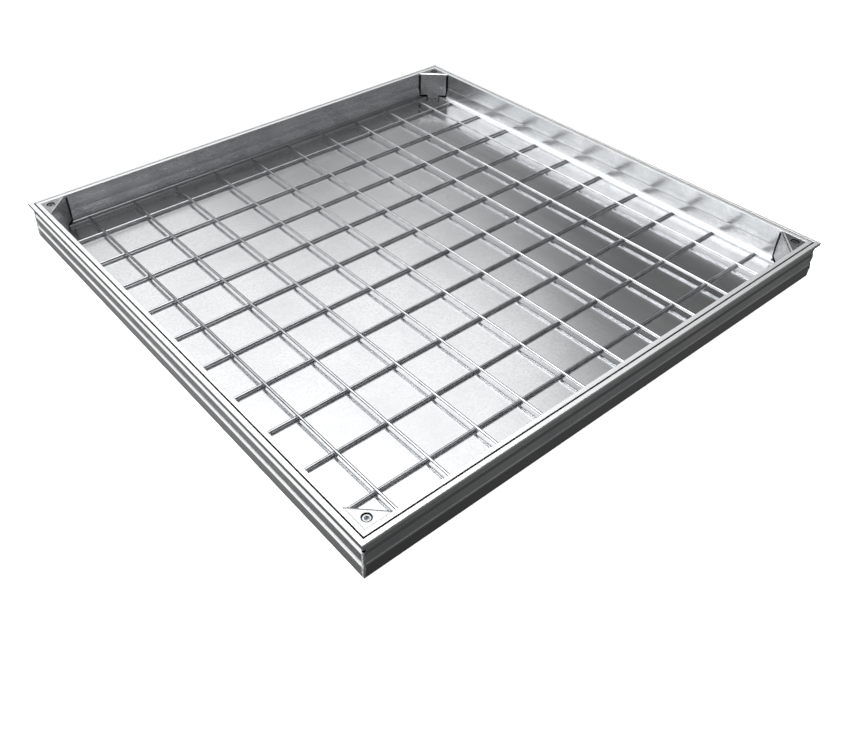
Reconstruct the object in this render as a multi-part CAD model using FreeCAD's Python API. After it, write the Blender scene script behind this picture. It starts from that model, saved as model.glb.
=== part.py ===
import FreeCAD, Part
import math
import os

# Recessed paving cover: an aluminium frame of four mitred rails, with a tray inside it that
# is filled with paving. Millimetres, +Z up, origin at the centre of the underside.
# In every section, u is measured inwards from the outer edge of the frame's lip.

# Whole cover
cover_side = 600.0
cover_height = 42.0

# Frame extrusion: a lip outside, a wall that steps out to its foot, and a flange inside
frame_wall = 1.4
lip_overhang = 3.4
lip_thickness = 3.6
lip_edge_radius = 1.2
lip_root_radius = 0.8
shoulder_step = 0.9
shoulder_height = 2.2
shoulder_straight = 0.2
upper_shoulder_depth = 13.0
lower_shoulder_depth = 26.7
flange_reach = 19.2
flange_thickness = 2.0
flange_root_radius = 1.5
edge_radius = 0.3

# Rubber seal strips between frame and tray
seal_thickness = 1.2
seal_width = 10.0
seal_inset = 6.0

# Tray extrusion: a beaded rim, a wall with a scored line and a cove, and a slot for the floor
rim_gap = 1.4
tray_wall = 2.3
bead_width = 2.2
bead_depth = 3.2
score_rise = 13.2
score_size = 0.35
wall_draft_angle = 6.0
cove_radius = 1.5
ledge_width = 8.5
ledge_rise = 2.6
slot_depth = 5.0
tray_lip_thickness = 1.6
tray_lip_reach = 3.0

# Floor sheet
sheet_thickness = 1.6
sheet_edge_play = 0.3
sheet_top_play = 0.1

# Welded wire mesh on the floor
wire_diameter = 3.0
wire_pitch = 54.3
wire_end_gap = 0.5
wire_contact_gap = 0.05
mesh_rise = 0.6

# Folded corner gussets that carry the lifting threads
gusset_sheet = 2.0
gusset_bend_radius = 0.4
gusset_recess = 0.3
web_side_gap = 1.7
web_ledge_gap = 2.2
web_corner_radius = 0.8
joint_gap = 0.3

# Lifting sockets and the plug screws that close them
thread_diameter = 8.0
thread_play = 0.05
plate_hole_play = 0.4
socket_wall = 1.9
socket_length = 16.0
socket_tray_gap = 2.0
socket_web_gap = 0.9
plug_length = 10.0
plug_recess = 0.8
plug_chamfer = 0.7
hex_across = 4.0
hex_depth = 4.5

# Heights and section lines that follow from the sizes above
half_side = cover_side / 2
frame_rim_width = frame_wall + lip_overhang
shoulder_turn = math.atan(shoulder_step / shoulder_height)
shoulder_setback = (math.hypot(shoulder_step, shoulder_height) - shoulder_straight) / 2
shoulder_radius = shoulder_setback / math.tan(shoulder_turn / 2)
tray_bottom = flange_thickness + seal_thickness
sheet_bottom = tray_bottom + tray_lip_thickness
floor_top = sheet_bottom + sheet_thickness
ledge_top = floor_top + ledge_rise
tray_rim_outer = frame_rim_width + rim_gap
tray_outer = tray_rim_outer + bead_width
tray_inner = tray_outer + tray_wall
ledge_inner = tray_inner + ledge_width
score_height = ledge_top + score_rise
cove_corner = tray_inner + math.tan(math.radians(wall_draft_angle)) * score_rise
slot_end = ledge_inner - slot_depth
bore_radius = thread_diameter / 2 + thread_play
socket_radius = bore_radius + socket_wall
lift_inset = socket_radius + socket_tray_gap
gusset_depth = lift_inset * math.sqrt(2) + socket_radius + socket_web_gap + gusset_sheet

SIDES = ("front", "right", "back", "left")
CORNERS = ("front_left", "front_right", "back_right", "back_left")
X_AXIS = FreeCAD.Vector(1, 0, 0)
Y_AXIS = FreeCAD.Vector(0, 1, 0)
Z_AXIS = FreeCAD.Vector(0, 0, 1)
ORIGIN = FreeCAD.Vector(0, 0, 0)


def corner_arc(before, corner, after, radius):
    """Start, middle and end of the arc of a given radius that rounds off a corner."""
    back = (before - corner).normalize()
    ahead = (after - corner).normalize()
    half_angle = back.getAngle(ahead) / 2
    setback = radius / math.tan(half_angle)
    bisector = (back + ahead).normalize()
    middle = corner + bisector * (radius / math.sin(half_angle) - radius)
    return corner + back * setback, middle, corner + ahead * setback


def section(corners):
    """Face in the XZ plane through corners (x, z) or (x, z, radius of the round)."""
    spots = [FreeCAD.Vector(corner[0], 0, corner[1]) for corner in corners]
    rounds = []
    for index, corner in enumerate(corners):
        spot = spots[index]
        after = spots[(index + 1) % len(spots)]
        rounded = len(corner) == 3
        ends = corner_arc(spots[index - 1], spot, after, corner[2]) if rounded else (spot,) * 3
        rounds.append(ends)
    edges = []
    for index, (start, middle, end) in enumerate(rounds):
        if start != end:
            edges.append(Part.Arc(start, middle, end).toShape())
        edges.append(Part.LineSegment(end, rounds[(index + 1) % len(rounds)][0]).toShape())
    return Part.Face(Part.Wire(edges))


def turned(shape, quarter_turns):
    """Copy of a front piece, turned about the cover's centre to another side or corner."""
    return shape.rotated(ORIGIN, Z_AXIS, quarter_turns * 90)


def mitred_rail(profile):
    """Front rail: a section (u, z) carried along the side, with both ends cut at 45 degrees."""
    face = section(profile)
    face.rotate(ORIGIN, Z_AXIS, 90)
    face.translate(FreeCAD.Vector(-half_side, -half_side, 0))
    bar = face.extrude(X_AXIS * cover_side)
    near_left = FreeCAD.Vector(-half_side, -half_side, 0)
    near_right = FreeCAD.Vector(half_side, -half_side, 0)
    wedge = Part.Face(Part.makePolygon([near_left, near_right, ORIGIN, near_left]))
    return bar.common(wedge.extrude(Z_AXIS * cover_height))


def frame_profile():
    """The outer wall swells out at two shoulders under the lip, so its foot is the thickest."""
    top = cover_height
    upper_wall = lip_overhang
    middle_wall = upper_wall - shoulder_step
    lower_wall = middle_wall - shoulder_step
    inner_edge = frame_rim_width + flange_reach
    return [
        (0, top, lip_edge_radius),
        (frame_rim_width, top, edge_radius),
        (frame_rim_width, flange_thickness, flange_root_radius),
        (inner_edge, flange_thickness, edge_radius),
        (inner_edge, 0, edge_radius),
        (lower_wall, 0, edge_radius),
        (lower_wall, top - lower_shoulder_depth - shoulder_height, shoulder_radius),
        (middle_wall, top - lower_shoulder_depth, shoulder_radius),
        (middle_wall, top - upper_shoulder_depth - shoulder_height, shoulder_radius),
        (upper_wall, top - upper_shoulder_depth, shoulder_radius),
        (upper_wall, top - lip_thickness, lip_root_radius),
        (0, top - lip_thickness, edge_radius),
    ]


def tray_profile():
    """Rim and wall, then the scored line, the drafted foot, the cove, the ledge and the slot."""
    top = cover_height
    slot_top = floor_top + sheet_top_play
    lip_end = ledge_inner + tray_lip_reach
    return [
        (tray_rim_outer, top, edge_radius),
        (tray_inner, top, edge_radius),
        (tray_inner, score_height + score_size),
        (tray_inner - score_size, score_height),
        (tray_inner, score_height - score_size),
        (cove_corner, ledge_top, cove_radius),
        (ledge_inner, ledge_top, edge_radius),
        (ledge_inner, slot_top),
        (slot_end, slot_top),
        (slot_end, sheet_bottom),
        (lip_end, sheet_bottom, edge_radius),
        (lip_end, tray_bottom, edge_radius),
        (tray_outer, tray_bottom, edge_radius),
        (tray_outer, top - bead_depth),
        (tray_rim_outer, top - bead_depth, edge_radius),
    ]


def seal_profile():
    """Flat strip of rubber on the frame's flange, under the tray."""
    outer = frame_rim_width + seal_inset
    return [
        (outer, flange_thickness),
        (outer + seal_width, flange_thickness),
        (outer + seal_width, tray_bottom),
        (outer, tray_bottom),
    ]


def floor_sheet():
    """Plain square sheet, slid into the slots of the four tray rails."""
    side = cover_side - 2 * (slot_end + sheet_edge_play)
    corner = FreeCAD.Vector(-side / 2, -side / 2, sheet_bottom)
    return Part.makeBox(side, side, sheet_thickness, corner)


def mesh_wires():
    """Straight wires both ways: the lower ones run along X, the upper ones lie across them. The
    mesh is never quite flat, so for most of its length it rides a little above the floor."""
    length = cover_side - 2 * (ledge_inner + wire_end_gap)
    count = int(length / wire_pitch)
    radius = wire_diameter / 2
    lower_height = floor_top + mesh_rise + radius
    upper_height = lower_height + wire_contact_gap + wire_diameter
    wires = {}
    for index in range(count):
        place = (index - (count - 1) / 2) * wire_pitch
        lower_start = FreeCAD.Vector(-length / 2, place, lower_height)
        upper_start = FreeCAD.Vector(place, -length / 2, upper_height)
        number = f"{index + 1:02d}"
        wires["lower_wire_" + number] = Part.makeCylinder(radius, length, lower_start, X_AXIS)
        wires["upper_wire_" + number] = Part.makeCylinder(radius, length, upper_start, Y_AXIS)
    return wires


def gusset_space():
    """What the gussets may fill: a plate as wide as the recess, and under it a web that stands
    off the walls, the coves and the ledges, and drops to the floor between the ledges."""
    plate_side = half_side - tray_inner - joint_gap
    web_side = half_side - tray_inner - web_side_gap
    tongue_side = half_side - ledge_inner - joint_gap
    plate_under = cover_height - gusset_recess - gusset_sheet
    web_foot = ledge_top + web_ledge_gap
    right_half = [
        (plate_side, cover_height),
        (plate_side, plate_under),
        (web_side, plate_under),
        (web_side, web_foot, web_corner_radius),
        (tongue_side, web_foot),
        (tongue_side, floor_top + joint_gap),
    ]
    left_half = [(-corner[0],) + corner[1:] for corner in reversed(right_half)]
    face = section(right_half + left_half)
    face.translate(Y_AXIS * -half_side)
    across = face.extrude(Y_AXIS * cover_side)
    return across.common(turned(across, 1))


def lift_centre(height):
    """Centre of the front left lifting hole, as far from one tray wall as from the other."""
    place = tray_inner + lift_inset - half_side
    return FreeCAD.Vector(place, place, height)


def gusset(space):
    """Front left gusset: an angle folded from sheet, trimmed to the corner and pierced."""
    top = cover_height - gusset_recess
    under = top - gusset_sheet
    foot = floor_top + joint_gap
    angle = section([
        (0, top),
        (gusset_depth, top, gusset_bend_radius + gusset_sheet),
        (gusset_depth, foot),
        (gusset_depth - gusset_sheet, foot),
        (gusset_depth - gusset_sheet, under, gusset_bend_radius),
        (0, under),
    ])
    angle.translate(Y_AXIS * -gusset_depth)
    folded = angle.extrude(Y_AXIS * 2 * gusset_depth)
    folded.rotate(ORIGIN, Z_AXIS, 45)
    folded.translate(FreeCAD.Vector(tray_inner - half_side, tray_inner - half_side, 0))
    hole_radius = thread_diameter / 2 + plate_hole_play
    hole = Part.makeCylinder(hole_radius, 2 * gusset_sheet, lift_centre(under - gusset_sheet))
    return folded.common(space).cut(hole)


def lifting_socket():
    """Threaded sleeve welded under the gusset's plate, open right through."""
    under = cover_height - gusset_recess - gusset_sheet
    base = lift_centre(under - socket_length)
    sleeve = Part.makeCylinder(socket_radius, socket_length, base)
    return sleeve.cut(Part.makeCylinder(bore_radius, socket_length, base))


def plug_screw():
    """Headless screw turned with both ends bevelled, with a hexagon socket in its top."""
    radius = thread_diameter / 2
    top = cover_height - gusset_recess - plug_recess
    half_section = section([
        (0, top),
        (radius - plug_chamfer, top),
        (radius, top - plug_chamfer),
        (radius, top - plug_length + plug_chamfer),
        (radius - plug_chamfer, top - plug_length),
        (0, top - plug_length),
    ])
    screw = half_section.revolve(ORIGIN, Z_AXIS, 360)
    hex_radius = hex_across / math.sqrt(3)
    points = [FreeCAD.Vector(hex_radius, 0, top - hex_depth)]
    for step in range(6):
        turn = FreeCAD.Rotation(Z_AXIS, 60)
        points.append(turn.multVec(points[step]))
    socket = Part.Face(Part.makePolygon(points)).extrude(Z_AXIS * 2 * hex_depth)
    screw = screw.cut(socket)
    screw.translate(lift_centre(0))
    return screw


def build():
    """Every piece of the cover, by node name."""
    pieces = {"floor_sheet": floor_sheet()}
    pieces.update(mesh_wires())
    rails = {
        "frame_rail_": mitred_rail(frame_profile()),
        "seal_strip_": mitred_rail(seal_profile()),
        "tray_rail_": mitred_rail(tray_profile()),
    }
    corner_pieces = {
        "corner_gusset_": gusset(gusset_space()),
        "lifting_socket_": lifting_socket(),
        "plug_screw_": plug_screw(),
    }
    for quarter in range(len(SIDES)):
        for name, rail in rails.items():
            pieces[name + SIDES[quarter]] = turned(rail, quarter)
        for name, piece in corner_pieces.items():
            pieces[name + CORNERS[quarter]] = turned(piece, quarter)
    return pieces


os.makedirs("parts", exist_ok=True)
for node, shape in build().items():
    shape.exportStep("parts/" + node + ".step")
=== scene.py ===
import math

import bpy
import numpy as np
from mathutils import Matrix, Vector


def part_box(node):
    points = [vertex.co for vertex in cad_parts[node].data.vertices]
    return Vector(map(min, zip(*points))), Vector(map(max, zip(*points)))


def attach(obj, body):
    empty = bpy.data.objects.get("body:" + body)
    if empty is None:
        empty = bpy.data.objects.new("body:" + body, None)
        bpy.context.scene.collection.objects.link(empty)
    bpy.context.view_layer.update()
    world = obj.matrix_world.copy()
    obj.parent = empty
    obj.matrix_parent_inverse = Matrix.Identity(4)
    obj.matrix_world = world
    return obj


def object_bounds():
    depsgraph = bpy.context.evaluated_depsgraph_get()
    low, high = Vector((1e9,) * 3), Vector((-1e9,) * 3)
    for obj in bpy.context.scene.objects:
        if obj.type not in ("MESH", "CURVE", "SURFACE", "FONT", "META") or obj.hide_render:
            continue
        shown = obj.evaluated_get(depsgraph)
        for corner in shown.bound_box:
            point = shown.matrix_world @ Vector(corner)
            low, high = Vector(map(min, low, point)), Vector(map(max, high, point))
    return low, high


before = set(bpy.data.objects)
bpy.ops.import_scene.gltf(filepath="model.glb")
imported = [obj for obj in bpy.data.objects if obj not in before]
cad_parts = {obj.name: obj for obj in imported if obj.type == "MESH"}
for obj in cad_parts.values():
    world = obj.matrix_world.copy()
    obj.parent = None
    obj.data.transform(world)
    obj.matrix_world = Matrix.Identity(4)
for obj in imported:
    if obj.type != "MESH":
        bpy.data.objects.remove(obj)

cad_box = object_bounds()

# Frame rails. Four lengths of extruded aluminium angle in their mill finish, sawn at 45 degrees
# and welded into a square that beds in mortar. The outer face steps out twice below the lip, and
# it is ground back at the corners after welding.
MM = 0.001
RIM_TOP = cad_box[1].z
FRAME_LIGHT = "#F2F3F4"
FRAME_DULL = "#CDD0D3"
FRAME_ROUGHNESS = (0.14, 0.18)
FRAME_RELIEF = 0.004 * MM
DIE_LINE = (180 * MM, 1.6 * MM)  # the real lines are about 0.2 mm apart, too fine to show
ALONG_X = (DIE_LINE[0], DIE_LINE[1], DIE_LINE[1])
ALONG_Y = (DIE_LINE[1], DIE_LINE[0], DIE_LINE[1])
LINE_SPAN = (0.3, 0.7)  # the noise at the smoothest line and at the roughest
CLOUD = 45 * MM
CLOUD_SPAN = (0.4, 0.8)  # the noise where dullness starts and where it is full
SPECK = (2.4 * MM, 2.4 * MM, 1.2 * MM)  # the real pits are about 0.1 mm, too fine to show
SPECK_SPAN = (0.42, 0.7)
SPECK_COVER = 0.75
FRAME_SPECKS = ("#B9BBBD", 0.3)  # a colour and a roughness, as in every finish laid over metal
LINISHED = ("#E9EAEB", 0.5)
LINISHED_FROM = RIM_TOP - 0.2 * MM
MITRE_WIDTH = 0.3 * MM
FRAME_MITRE = ("#7B7D80", 0.6)
GROUND_METAL = ("#C6C7C8", 0.5)
GROUND_FROM = (295.8 * MM, 297.8 * MM)  # how far out, both ways, grinding starts and is full
LIP_UNDERSIDE = 38.4 * MM
OUTER_SKIN = 296.0 * MM
LIP_EDGE = (LIP_UNDERSIDE, 41.7 * MM)  # this and the next four are lowest and highest points
UPPER_SHOULDER = (25.9 * MM, 29.3 * MM)
LOWER_SHOULDER = (11.5 * MM, 14.4 * MM)
FOOT = (0.8 * MM, 11.5 * MM)
FOOT_EDGE = (-0.1 * MM, 0.8 * MM)
BAND_ROUGHNESS = 0.2
# Painted contact shadow along the lowest edge.
PAINTED_CONTACT_SHADOW = ("#5A5B5C", 0.4)


def linear(colour):
    """An sRGB hex colour as linear red, green and blue, with an opaque alpha."""
    parts = [int(colour[k:k + 2], 16) / 255 for k in (1, 3, 5)]
    return [p / 12.92 if p <= 0.04045 else ((p + 0.055) / 1.055) ** 2.4 for p in parts] + [1.0]


def add(tree, kind, inputs, **settings):
    """A node with its settings, and its inputs set to values or linked to other sockets. A Mix
    node's inputs go by number: 0 is the share, 2 and 3 are numbers, and 6 and 7 are colours."""
    node = tree.nodes.new(kind)
    for name, value in settings.items():
        setattr(node, name, value)
    for name, value in inputs.items():
        socket = node.inputs[name]
        if isinstance(value, bpy.types.NodeSocket):
            tree.links.new(value, socket)
        else:
            socket.default_value = value
    return node


def give(material, names):
    """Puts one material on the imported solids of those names."""
    for name in names:
        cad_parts[name].material_slots[0].material = material


def grain(tree, place, size, detail=3.0):
    """Noise whose cells measure size = (x, y, z): clouds if even, lines if one is long."""
    cells = add(tree, "ShaderNodeMapping", {"Vector": place, "Scale": [1 / s for s in size]})
    noise = add(tree, "ShaderNodeTexNoise", {
        "Vector": cells.outputs[0], "Scale": 1.0, "Detail": detail, "Roughness": 0.6})
    return noise.outputs["Fac"]


def metal(name, light, dull, roughness, line_size, cloud_size, relief):
    """Bare metal: lines give it relief and vary its roughness, and clouds tint it duller."""
    material = bpy.data.materials.new(name)
    material.use_nodes = True
    tree = material.node_tree
    shader = tree.nodes["Principled BSDF"]
    shader.inputs["Metallic"].default_value = 1.0
    place = add(tree, "ShaderNodeTexCoord", {}).outputs["Object"]
    lines = grain(tree, place, line_size)
    clouds = grain(tree, place, (cloud_size,) * 3, detail=5.0)
    tone = add(tree, "ShaderNodeMapRange", {
        "Value": clouds, "From Min": CLOUD_SPAN[0], "From Max": CLOUD_SPAN[1]})
    colour = add(tree, "ShaderNodeMix", {
        0: tone.outputs[0], 6: linear(light), 7: linear(dull)}, data_type="RGBA")
    polish = add(tree, "ShaderNodeMapRange", {
        "Value": lines, "From Min": LINE_SPAN[0], "From Max": LINE_SPAN[1],
        "To Min": roughness[0], "To Max": roughness[1]})
    bump = add(tree, "ShaderNodeBump", {"Height": lines, "Distance": relief})
    tree.links.new(colour.outputs[2], shader.inputs["Base Color"])
    tree.links.new(polish.outputs[0], shader.inputs["Roughness"])
    tree.links.new(bump.outputs[0], shader.inputs["Normal"])
    return material, tree, shader, place


def over(tree, shader, mask, colour, roughness):
    """Lays another finish over the shader's own, where the mask is 1."""
    below = shader.inputs["Base Color"].links[0].from_socket
    tint = add(tree, "ShaderNodeMix", {0: mask, 6: below, 7: linear(colour)}, data_type="RGBA")
    tree.links.new(tint.outputs[2], shader.inputs["Base Color"])
    below = shader.inputs["Roughness"].links[0].from_socket
    polish = add(tree, "ShaderNodeMix", {0: mask, 2: below, 3: roughness})
    tree.links.new(polish.outputs[0], shader.inputs["Roughness"])


def from_centre(tree, place):
    """How far a point is from the cover's centre planes, along X and along Y, and its height."""
    axes = add(tree, "ShaderNodeSeparateXYZ", {"Vector": place}).outputs
    along_x = add(tree, "ShaderNodeMath", {0: axes["X"]}, operation="ABSOLUTE").outputs[0]
    along_y = add(tree, "ShaderNodeMath", {0: axes["Y"]}, operation="ABSOLUTE").outputs[0]
    return along_x, along_y, axes["Z"]


def speckle(tree, shader, place, colour, roughness):
    """The fine pitted grain that rolls and dies leave on aluminium, seen as duller specks."""
    specks = add(tree, "ShaderNodeMapRange", {
        "Value": grain(tree, place, SPECK), "From Min": SPECK_SPAN[0],
        "From Max": SPECK_SPAN[1], "To Max": SPECK_COVER})
    over(tree, shader, specks.outputs[0], colour, roughness)


def mitre_line(tree, shader, place, colour, roughness):
    """Hairline where two bars meet, on the diagonals of the cover."""
    along_x, along_y, _ = from_centre(tree, place)
    apart = add(tree, "ShaderNodeMath", {0: along_x, 1: along_y}, operation="SUBTRACT")
    apart = add(tree, "ShaderNodeMath", {0: apart.outputs[0]}, operation="ABSOLUTE")
    line = add(tree, "ShaderNodeMapRange", {
        "Value": apart.outputs[0], "From Min": MITRE_WIDTH / 2, "From Max": MITRE_WIDTH,
        "To Min": 1.0, "To Max": 0.0})
    over(tree, shader, line.outputs[0], colour, roughness)


def band(tree, place, low, high):
    """1 on the outer skin of the frame between two heights, and 0 elsewhere."""
    along_x, along_y, height = from_centre(tree, place)
    out = add(tree, "ShaderNodeMath", {0: along_x, 1: along_y}, operation="MAXIMUM").outputs[0]
    out = add(tree, "ShaderNodeMath", {0: out, 1: OUTER_SKIN}, operation="GREATER_THAN").outputs[0]
    above = add(tree, "ShaderNodeMath", {0: height, 1: low}, operation="GREATER_THAN").outputs[0]
    below = add(tree, "ShaderNodeMath", {0: height, 1: high}, operation="LESS_THAN").outputs[0]
    between = add(tree, "ShaderNodeMath", {0: above, 1: below}, operation="MULTIPLY").outputs[0]
    return add(tree, "ShaderNodeMath", {0: out, 1: between}, operation="MULTIPLY").outputs[0]


def linished_top(tree, shader, height):
    """The rim's upper face, ground level on a belt after welding, which leaves it pale and matt."""
    top = add(tree, "ShaderNodeMath", {0: height, 1: LINISHED_FROM}, operation="GREATER_THAN")
    over(tree, shader, top.outputs[0], *LINISHED)


# Mill finish: a satin sheen with lines along the bar. The edge of the lip, the shoulders and the
# foot are painted as bands of light and shade: highlight on the lip's edge of the front and back
# bars and on the shoulders and foot of the side bars, shade on the rest. The lowest edge is painted
# dark as contact shadow.
for sides, line_size, lip_edge, shoulder, foot in (
        (("front", "back"), ALONG_X, "#EEEFF0", "#8A8B8C", "#A1A2A3"),
        (("right", "left"), ALONG_Y, "#8C8E90", "#F2F3F4", "#E4E5E6")):
    material, tree, shader, place = metal(
        "mill_finish_extrusion_" + sides[0], FRAME_LIGHT, FRAME_DULL, FRAME_ROUGHNESS,
        line_size, CLOUD, FRAME_RELIEF)
    speckle(tree, shader, place, *FRAME_SPECKS)
    along_x, along_y, height = from_centre(tree, place)
    nearest = add(tree, "ShaderNodeMath", {0: along_x, 1: along_y}, operation="MINIMUM").outputs[0]
    by_corner = add(tree, "ShaderNodeMapRange", {
        "Value": nearest, "From Min": GROUND_FROM[0], "From Max": GROUND_FROM[1]}).outputs[0]
    below_lip = add(tree, "ShaderNodeMath", {
        0: height, 1: LIP_UNDERSIDE}, operation="LESS_THAN").outputs[0]
    ground = add(tree, "ShaderNodeMath", {0: by_corner, 1: below_lip}, operation="MULTIPLY")
    over(tree, shader, ground.outputs[0], *GROUND_METAL)
    # Painted highlight and shade on the lip's edge, the shoulders and the foot.
    for heights, colour in ((LIP_EDGE, lip_edge), (UPPER_SHOULDER, shoulder),
                            (LOWER_SHOULDER, shoulder), (FOOT, foot)):
        over(tree, shader, band(tree, place, *heights), colour, BAND_ROUGHNESS)
    # Painted contact shadow along the lowest edge.
    over(tree, shader, band(tree, place, *FOOT_EDGE), *PAINTED_CONTACT_SHADOW)
    linished_top(tree, shader, height)
    mitre_line(tree, shader, place, *FRAME_MITRE)
    give(material, ["frame_rail_" + side for side in sides])


# Corner welds. A run of aluminium weld down each outer corner of the frame, from just under the
# lip to the foot, laid by hand and ground back by hand, so that it stays uneven.
CORNERS = ("front_left", "front_right", "back_right", "back_left")
LIP_REACH = cad_box[1].x
WALL_STEPS = ((0, 12.0, 1.6), (16.4, 25.7, 2.5), (30.1, 42, 3.4))  # from, to, inset, all in mm
WELD_RADIUS = 1.5 * MM
WELD_SET_IN = 0.55 * WELD_RADIUS
WELD_TOP = 37.4 * MM
WELD_FOOT = 0.7 * MM
WELD_RINGS = 90
WELD_SIDES = 24
WELD_SEED = 7
# Waves as (size, radians from foot to top, waves round the weld), and a blob as (size, place,
# length): sizes are shares of the radius, and the blob's place and length are shares of the weld.
WELD_WAVES = ((0.10, 19, 0), (0.07, 53, 0), (0.06, 97, 2))
WELD_BLOB = (0.35, 0.93, 0.045)
WELD_GRIT = 0.05
WELD_TIP_POWER = 40
WELD_LIGHT = "#F0F1F2"
WELD_DULL = "#A9ABAD"
WELD_GRAIN = (2 * MM, 2 * MM, 0.7 * MM)
PORE = 1.1 * MM  # the real pores are 0.3 to 0.5 mm, too fine to show
PORE_SPAN = (0.57, 0.61)
# The black of the open pores, which also paints the shade under the lip; the shade's middle height
# and reach follow.
PORES_AND_PAINTED_SHADE = ("#1D1D1E", 0.8)
PAINTED_SHADE_UNDER_LIP = (30.6 * MM, 1.3 * MM)  # its middle height, and its reach up and down from there


def mesh_object(name, points, faces, material):
    """A smooth piece of the cover from its points and faces, with a material and a slot."""
    mesh = bpy.data.meshes.new(name)
    mesh.from_pydata(points.reshape(-1, 3).tolist(), [], faces.tolist())
    mesh.polygons.foreach_set("use_smooth", np.ones(len(mesh.polygons), bool))
    mesh.materials.append(material)
    mesh.update()
    piece = bpy.data.objects.new(name, mesh)
    bpy.context.scene.collection.objects.link(piece)
    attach(piece, "root")


def grid_faces(rows, columns):
    """Quads between neighbouring points of a grid whose columns close into a ring."""
    row, column = np.meshgrid(np.arange(rows - 1), np.arange(columns), indexing="ij")
    ahead = (column + 1) % columns
    corners = [row * columns + column, row * columns + ahead,
               (row + 1) * columns + ahead, (row + 1) * columns + column]
    return np.stack(corners, axis=-1).reshape(-1, 4)


def corner_weld(quarter):
    """Rings of radius R * (1 + waves + blob) * grit * end round the corner's edge, which steps in
    with the wall. The waves are three sines down the weld, the blob is a bell curve near its
    top, the grit is seeded noise, and the end factor falls to 0 at both tips, which closes them."""
    seeded = np.random.default_rng(WELD_SEED + quarter)
    t = np.linspace(0.0, 1.0, WELD_RINGS)[:, None]
    angle = np.linspace(0.0, 2 * np.pi, WELD_SIDES, endpoint=False)[None, :]
    z = WELD_FOOT + (WELD_TOP - WELD_FOOT) * t
    phases = seeded.uniform(0, 2 * np.pi, 4)  # one for each wave, and a spare
    waves = sum(size * np.sin(down * t + around * angle + phase)
                for (size, down, around), phase in zip(WELD_WAVES, phases))
    size, middle, length = WELD_BLOB
    blob = size * np.exp(-((t - middle) / length) ** 2)
    grit = 1 + WELD_GRIT * seeded.standard_normal((WELD_RINGS, WELD_SIDES))
    end = np.sqrt(np.clip(1 - (2 * t - 1) ** WELD_TIP_POWER, 0, 1))
    radius = WELD_RADIUS * (1 + waves + blob) * grit * end
    heights = [h * MM for low, high, _ in WALL_STEPS for h in (low, high)]
    insets = [u * MM for _, _, u in WALL_STEPS for _ in range(2)]
    edge = np.interp(z, heights, insets) + WELD_SET_IN - LIP_REACH
    points = np.stack([edge + radius * np.cos(angle), edge + radius * np.sin(angle),
                       z + 0 * angle], axis=-1).reshape(-1, 3)
    turn = np.array(Matrix.Rotation(math.radians(90 * quarter), 3, "Z"))
    return points @ turn.T


# Ground weld metal: matt and lumpy, with open black pores, and a band of painted shade just under
# the lip, which overhangs it.
material, tree, shader, place = metal(
    "ground_weld_aluminium", WELD_LIGHT, WELD_DULL, roughness=(0.4, 0.7),
    line_size=WELD_GRAIN, cloud_size=4 * MM, relief=0.15 * MM)
pores = add(tree, "ShaderNodeMapRange", {
    "Value": grain(tree, place, (PORE,) * 3, detail=2.0),
    "From Min": PORE_SPAN[0], "From Max": PORE_SPAN[1]})
over(tree, shader, pores.outputs[0], *PORES_AND_PAINTED_SHADE)
height = from_centre(tree, place)[2]
# A band of painted shade under the lip's overhang.
mark = add(tree, "ShaderNodeMath", {
    0: height, 1: PAINTED_SHADE_UNDER_LIP[0], 2: PAINTED_SHADE_UNDER_LIP[1]}, operation="COMPARE")
over(tree, shader, mark.outputs[0], *PORES_AND_PAINTED_SHADE)
for quarter, corner in enumerate(CORNERS):
    mesh_object("corner_weld_" + corner, corner_weld(quarter),
                grid_faces(WELD_RINGS, WELD_SIDES), material)


# Seal strips. Four strips of moulded black EPDM rubber with mitred ends, glued to the frame's
# flange, where the tray rests on them. The skin is dull and finely pebbled, with dust on it.
SIDES = ("front", "right", "back", "left")
RUBBER = "#151516"
DUSTY_RUBBER = "#2B2B2C"
RUBBER_ROUGHNESS = 0.72
PEBBLE = 0.8 * MM  # the real pebbles are about 0.2 mm, too fine to show
PEBBLE_RELIEF = 0.1 * MM
DUST_PATCH = 15 * MM
material = bpy.data.materials.new("moulded_epdm_rubber")
material.use_nodes = True
tree = material.node_tree
shader = tree.nodes["Principled BSDF"]
place = add(tree, "ShaderNodeTexCoord", {}).outputs["Object"]
pebbles = grain(tree, place, (PEBBLE,) * 3)
dust = add(tree, "ShaderNodeMix", {
    0: grain(tree, place, (DUST_PATCH,) * 3), 6: linear(RUBBER), 7: linear(DUSTY_RUBBER)},
    data_type="RGBA")
bump = add(tree, "ShaderNodeBump", {"Height": pebbles, "Distance": PEBBLE_RELIEF})
tree.links.new(dust.outputs[2], shader.inputs["Base Color"])
tree.links.new(bump.outputs[0], shader.inputs["Normal"])
shader.inputs["Roughness"].default_value = RUBBER_ROUGHNESS
give(material, ["seal_strip_" + side for side in SIDES])


# Tray rails. Four lengths of a second aluminium extrusion, mitred and welded: a beaded rim, a
# wall with a scored line, a cove down to the ledge, and a slot that holds the floor. The rim is
# linished after welding.
TRAY_LIGHT = "#F4F5F6"
TRAY_DULL = "#D3D6D9"
TRAY_SPECKS = "#D2D4D6"
TRAY_MITRE = ("#A5A7A9", 0.6)
SCORE = (22.2 * MM, 0.45 * MM)  # a middle height, and the reach up and down from there
SCORE_ROUGHNESS = 0.5
LEDGE = (9.8 * MM, 1.2 * MM)
LEDGE_ROUGHNESS = 0.3
BEHIND_WEB = 552.6 * MM  # the distances from the centre along X and along Y, added up
BESIDE_WEB = 549.0 * MM
UNDER_PLATE = 39.4 * MM
# Painted shade for the closed corners under the gussets.
PAINTED_CORNER_SHADE = ("#38393A", 0.7)


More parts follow.
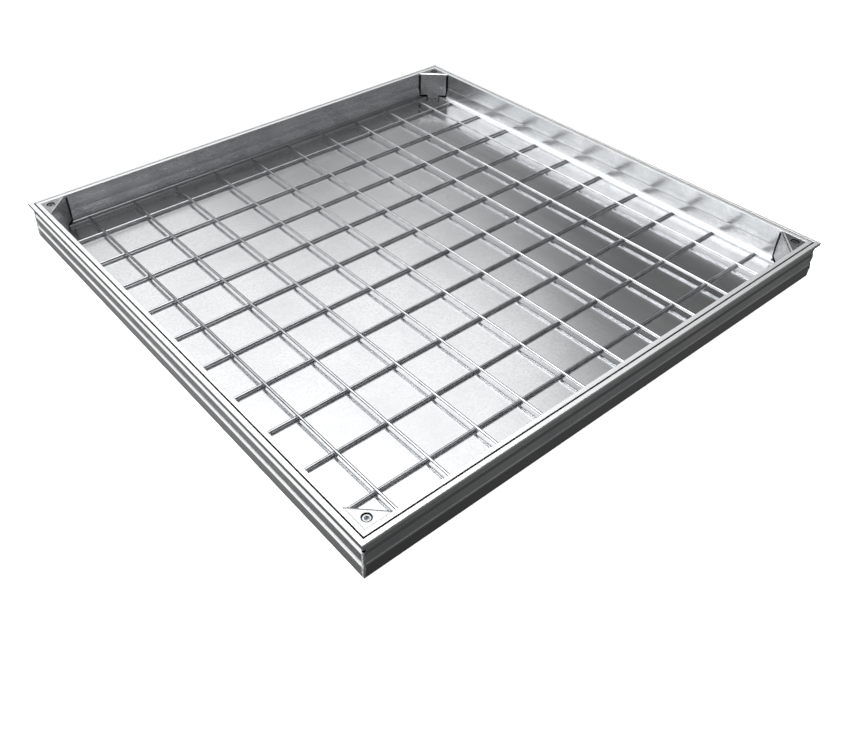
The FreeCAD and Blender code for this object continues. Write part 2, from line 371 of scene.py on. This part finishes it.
def painted_corner_shade(tree, shader, place, start=BEHIND_WEB):
    """Painted shade in the closed corners behind the gussets' webs and under their plates."""
    along_x, along_y, height = from_centre(tree, place)
    total = add(tree, "ShaderNodeMath", {0: along_x, 1: along_y}).outputs[0]
    past = add(tree, "ShaderNodeMath", {
        0: total, 1: start}, operation="GREATER_THAN").outputs[0]
    under = add(tree, "ShaderNodeMath", {
        0: height, 1: UNDER_PLATE}, operation="LESS_THAN").outputs[0]
    in_shade = add(tree, "ShaderNodeMath", {0: past, 1: under}, operation="MULTIPLY").outputs[0]
    over(tree, shader, in_shade, *PAINTED_CORNER_SHADE)


# Extruded and linished: the walls keep the die's sheen and the rim is matt. The bars across the
# front and the back are painted darker as shade and are rougher, the scored line is painted dark as
# shade, and so is the ledge of the front and back bars.
for sides, line_size, light, dull, roughness, score_colour, ledge_colour in (
        (("front", "back"), ALONG_X,
         "#DADBDC", "#BEC1C4", (0.26, 0.30), "#C9CBCD", "#B4B6B8"),
        (("right", "left"), ALONG_Y,
         TRAY_LIGHT, TRAY_DULL, (0.18, 0.22), "#A9AAAB", TRAY_LIGHT)):
    material, tree, shader, place = metal(
        "linished_extrusion_" + sides[0], light, dull, roughness, line_size, CLOUD, FRAME_RELIEF)
    speckle(tree, shader, place, TRAY_SPECKS, roughness[1])
    height = from_centre(tree, place)[2]
    # Painted shade along the scored line, and on the ledge of the front and back bars.
    for (middle, reach), colour, polish in (
            (SCORE, score_colour, SCORE_ROUGHNESS), (LEDGE, ledge_colour, LEDGE_ROUGHNESS)):
        near = add(tree, "ShaderNodeMath", {
            0: height, 1: middle, 2: reach}, operation="COMPARE").outputs[0]
        over(tree, shader, near, colour, polish)
    # Painted shade in the corners beside the gussets' webs.
    painted_corner_shade(tree, shader, place, BESIDE_WEB)
    linished_top(tree, shader, height)
    mitre_line(tree, shader, place, *TRAY_MITRE)
    give(material, ["tray_rail_" + side for side in sides])


# Floor sheet. Plain rolled aluminium sheet, slid into the slots of the tray rails. The mill's
# polished rolls leave it bright, so it mirrors softly, with a faint grain along Y and fine specks.
FLOOR_LIGHT = "#F6F7F8"
FLOOR_DULL = "#E4E6E8"
FLOOR_SPECKS = ("#E2E4E6", 0.21)
ROLLED_GRAIN = (2 * MM, 220 * MM, 2 * MM)  # the real lines are under 0.1 mm, too fine to show
material, tree, shader, place = metal(
    "bright_rolled_sheet", FLOOR_LIGHT, FLOOR_DULL, roughness=(0.17, 0.21),
    line_size=ROLLED_GRAIN, cloud_size=70 * MM, relief=0.004 * MM)
speckle(tree, shader, place, *FLOOR_SPECKS)
# Painted shade in the corners behind the gussets' webs.
painted_corner_shade(tree, shader, place)
give(material, ["floor_sheet"])


# Wire mesh. Drawn and galvanised steel wires, the upper ones laid across the lower ones and
# resistance welded where they cross, which squeezes out a little collar of metal.
WIRES = range(1, 11)
WIRE_LIGHT = "#C6C8CA"
WIRE_DULL = "#9FA2A5"
DRAWN_LINE = (60 * MM, 0.8 * MM)  # the real lines are about 0.05 mm apart, too fine to show
COLLAR_LIGHT = "#C2C4C6"
COLLAR_DULL = "#8C8D8E"
COLLAR_GRAIN = 2 * MM
COLLAR_RADII = (1.9 * MM, 1.9 * MM, 0.9 * MM)
COLLAR_ROWS = 9
COLLAR_COLUMNS = 14

# Galvanised wire: grey zinc with a soft sheen, broken by the lines that drawing leaves along it.
# The lower wires are duller.
for lay, line_size, roughness in (
        ("lower", (DRAWN_LINE[0], DRAWN_LINE[1], DRAWN_LINE[1]), (0.26, 0.36)),
        ("upper", (DRAWN_LINE[1], DRAWN_LINE[0], DRAWN_LINE[1]), (0.14, 0.24))):
    material = metal(
        f"galvanised_{lay}_wire", WIRE_LIGHT, WIRE_DULL, roughness, line_size,
        cloud_size=12 * MM, relief=0.015 * MM)[0]
    give(material, [f"{lay}_wire_{k:02d}" for k in WIRES])


def weld_collars(places, height):
    """Ellipsoids x = a sin v cos u, y = b sin v sin u, z = -c cos v, one at each crossing."""
    v = np.linspace(0, np.pi, COLLAR_ROWS)[:, None]
    u = np.linspace(0, 2 * np.pi, COLLAR_COLUMNS, endpoint=False)[None, :]
    a, b, c = COLLAR_RADII
    one = np.stack([a * np.sin(v) * np.cos(u), b * np.sin(v) * np.sin(u),
                    -c * np.cos(v) + 0 * u], axis=-1).reshape(-1, 3)
    x, y = np.meshgrid(places, places, indexing="ij")
    centres = np.stack([x, y, np.full_like(x, height)], axis=-1).reshape(-1, 1, 3)
    faces = grid_faces(COLLAR_ROWS, COLLAR_COLUMNS)
    shifts = np.arange(len(centres))[:, None, None] * len(one)
    return (one + centres).reshape(-1, 3), (faces + shifts).reshape(-1, 4)


# Steel melted by the welding current: dull and slightly rough, without the zinc's brightness.
crossings = [sum(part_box(f"upper_wire_{k:02d}")[end].x for end in (0, 1)) / 2 for k in WIRES]
contact = (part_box("upper_wire_01")[0].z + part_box("lower_wire_01")[1].z) / 2
points, faces = weld_collars(np.array(crossings), contact)
material = metal(
    "resistance_weld_steel", COLLAR_LIGHT, COLLAR_DULL, roughness=(0.4, 0.6),
    line_size=(COLLAR_GRAIN,) * 3, cloud_size=6 * MM, relief=0.05 * MM)[0]
mesh_object("mesh_weld_collars", points, faces, material)


# Corner gussets. Brushed aluminium sheet, folded to a three-cornered plate level with the rim and
# a web across the corner, and welded in. Brushing leaves it duller than the rails. Painted shade
# darkens a ring round the lifting hole, and the sheet behind the web, under the plate.
GUSSET_LIGHT = "#D8D9DA"
GUSSET_DULL = "#B8BBBD"
BRUSHED_LINE = (1.2 * MM, 60 * MM, 1.2 * MM)  # the real lines are 0.1 mm, too fine to show
HOLE_PLACE = sum(corner.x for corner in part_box("plug_screw_back_right")) / 2
HOLE_EDGE = (4.0 * MM, 4.6 * MM)  # the wall of the plate's hole, and its edge
# Painted shade in the hole's edge, and in the gap round each screw.
PAINTED_RING_SHADE = ("#2C2D2E", 0.7)


def painted_shade_ring(tree, shader, place, inner, outer):
    """Painted shade between two radii round the axes of the four lifting holes."""
    along_x, along_y, _ = from_centre(tree, place)
    flat = add(tree, "ShaderNodeCombineXYZ", {"X": along_x, "Y": along_y}).outputs[0]
    away = add(tree, "ShaderNodeVectorMath", {
        0: flat, 1: (HOLE_PLACE, HOLE_PLACE, 0.0)}, operation="DISTANCE").outputs["Value"]
    past = add(tree, "ShaderNodeMath", {0: away, 1: inner}, operation="GREATER_THAN").outputs[0]
    within = add(tree, "ShaderNodeMath", {0: away, 1: outer}, operation="LESS_THAN").outputs[0]
    ring = add(tree, "ShaderNodeMath", {0: past, 1: within}, operation="MULTIPLY").outputs[0]
    over(tree, shader, ring, *PAINTED_RING_SHADE)


material, tree, shader, place = metal(
    "brushed_sheet", GUSSET_LIGHT, GUSSET_DULL, roughness=(0.25, 0.33),
    line_size=BRUSHED_LINE, cloud_size=20 * MM, relief=0.02 * MM)
painted_corner_shade(tree, shader, place)
painted_shade_ring(tree, shader, place, *HOLE_EDGE)
give(material, ["corner_gusset_" + corner for corner in CORNERS])


# Lifting sockets. Turned steel sleeves with an inside thread, zinc plated and welded under the
# plates. Turning leaves fine rings round them, which show through the grey plating.
SLEEVE_LIGHT = "#C4C9CE"
SLEEVE_DULL = "#8E9499"
TURNED_RING = (6 * MM, 6 * MM, 0.5 * MM)  # the real rings are 0.1 mm, too fine to show
material = metal(
    "zinc_plated_sleeve", SLEEVE_LIGHT, SLEEVE_DULL, roughness=(0.3, 0.42),
    line_size=TURNED_RING, cloud_size=8 * MM, relief=0.02 * MM)[0]
give(material, ["lifting_socket_" + corner for corner in CORNERS])


# Plug screws. Headless steel screws with a hexagon socket, zinc plated, screwed into the sockets
# to keep grit out of the threads. The plating is silvery and faintly mottled, and painted shade
# darkens the bevel's rim and the gap round each screw.
SCREW_LIGHT = "#CDD1D5"
SCREW_DULL = "#8A8E92"
SCREW_MOTTLE = 1.2 * MM
SCREW_EDGE = (3.75 * MM, 4.1 * MM)  # the outer part of the bevel, and the side
material, tree, shader, place = metal(
    "zinc_plated_screw", SCREW_LIGHT, SCREW_DULL, roughness=(0.22, 0.34),
    line_size=(SCREW_MOTTLE,) * 3, cloud_size=3 * MM, relief=0.02 * MM)
painted_shade_ring(tree, shader, place, *SCREW_EDGE)
give(material, ["plug_screw_" + corner for corner in CORNERS])


# Studio. A pale painted floor that fades into a pale room, with large soft lights overhead, to
# the left and behind, and a small dark flag (the light below zero). The front is dark, and the
# sheet mirrors it.
PALE = "#F7F7F7"
PAINT_ROUGHNESS = 0.9
PAINT_GLOW = 0.85
STUDIO_HALF_SIDE = 6.0
STUDIO_LEVEL = -0.3 * MM
AMBIENT = 0.073
# Each light: turn from +X, height, half angle in full light and at its end, in degrees; strength.
SOFT_LIGHTS = (
    (87.4, 68, 39, 42, 0.5),
    (122, 77.5, 10, 41.5, 2.0),
    (154.5, -6, 46.3, 49.3, 0.965),
    (-54, -9, 13, 48, 0.11),
    (137.5, 76, 13.7, 35, 3.2),
    (58, 42, 15.2, 17.9, 0.47),
    (58.8, 28.6, 1.5, 7.5, -0.27),
)
points = np.array([[-1, -1, 0], [1, -1, 0], [1, 1, 0], [-1, 1, 0]]) * STUDIO_HALF_SIDE
points[:, 2] = STUDIO_LEVEL
mesh = bpy.data.meshes.new("studio_floor")
mesh.from_pydata(points.tolist(), [], [(0, 1, 2, 3)])
floor = bpy.data.objects.new("studio_floor", mesh)
bpy.context.scene.collection.objects.link(floor)
material = bpy.data.materials.new("studio_floor_paint")
material.use_nodes = True
shader = material.node_tree.nodes["Principled BSDF"]
shader.inputs["Base Color"].default_value = linear(PALE)
shader.inputs["Roughness"].default_value = PAINT_ROUGHNESS
shader.inputs["Specular IOR Level"].default_value = 0.0
shader.inputs["Emission Color"].default_value = linear(PALE)
shader.inputs["Emission Strength"].default_value = PAINT_GLOW
mesh.materials.append(material)
floor.visible_glossy = False
floor.visible_diffuse = False

world = bpy.data.worlds.new("soft_studio")
world.use_nodes = True
bpy.context.scene.world = world
tree = world.node_tree
toward = add(tree, "ShaderNodeTexCoord", {}).outputs["Generated"]
light = AMBIENT
for turn, height, full, end, strength in SOFT_LIGHTS:
    t, h = math.radians(turn), math.radians(height)
    axis = (math.cos(t) * math.cos(h), math.sin(t) * math.cos(h), math.sin(h))
    cosine = add(tree, "ShaderNodeVectorMath", {0: toward, 1: axis}, operation="DOT_PRODUCT")
    lobe = add(tree, "ShaderNodeMapRange", {
        "Value": cosine.outputs["Value"], "From Min": math.cos(math.radians(end)),
        "From Max": math.cos(math.radians(full)), "To Max": strength},
        interpolation_type="SMOOTHSTEP")
    light = add(tree, "ShaderNodeMath", {0: lobe.outputs[0], 1: light}).outputs[0]
background = tree.nodes["Background"]
seen = add(tree, "ShaderNodeLightPath", {}).outputs["Is Camera Ray"]
level = add(tree, "ShaderNodeMix", {0: seen, 2: light, 3: 1.0})
tree.links.new(level.outputs[0], background.inputs["Strength"])
background.inputs["Color"].default_value = (1, 1, 1, 1)
bpy.context.scene.view_settings.view_transform = "Standard"


# Camera. It stands to the front left and looks down on the cover, as in the photograph. Its
# place and angles are a perspective fit of the cover's corners.
EYE = Vector((-510.80, -592.72, 528.79)) * MM
TURN, LOOK_DOWN, LEAN = -39.486, 42.251, -0.115
SENSOR_WIDTH = 36.0
FOCAL_LENGTH = 35.99
SIDE_SHIFT = 0.0349
NEAREST_SEEN = 10 * MM
camera = bpy.data.objects.new("camera", bpy.data.cameras.new("camera"))
bpy.context.scene.collection.objects.link(camera)
camera.data.sensor_width = SENSOR_WIDTH
camera.data.lens = FOCAL_LENGTH
camera.data.shift_x = SIDE_SHIFT
camera.data.clip_start = NEAREST_SEEN
camera.matrix_world = (
    Matrix.Translation(EYE) @ Matrix.Rotation(math.radians(TURN), 4, "Z")
    @ Matrix.Rotation(math.radians(90 - LOOK_DOWN), 4, "X")
    @ Matrix.Rotation(math.radians(LEAN), 4, "Z"))
bpy.context.scene.camera = camera
